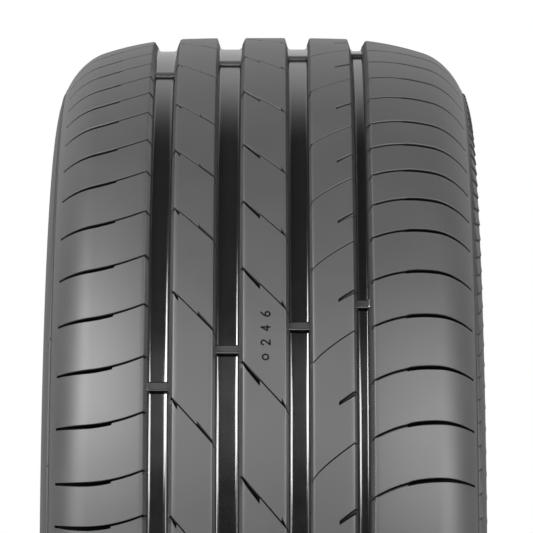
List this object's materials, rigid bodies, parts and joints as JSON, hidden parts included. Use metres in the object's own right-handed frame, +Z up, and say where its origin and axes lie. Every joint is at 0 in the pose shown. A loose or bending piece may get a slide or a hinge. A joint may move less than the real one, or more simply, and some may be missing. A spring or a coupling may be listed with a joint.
{
  "type": "car tyre",
  "caption": "Radial car tyre with a ribbed road tread, rounded shoulders, plain sidewalls and two beads that seat on a rim.",
  "frame": {"origin": "the wheel's centre: on the spin axis, midway between the beads", "axes": "+Y along the spin axis, towards the right in the picture; +Z up; +X forward, towards the camera of the picture"},
  "size_m": [0.679, 0.233, 0.679],
  "materials": {
    "tyre": "satin black rubber, darker in the grooves"
  },
  "bodies": {
    "root": {"tyre": "tyre"}
  },
  "joints": []
}
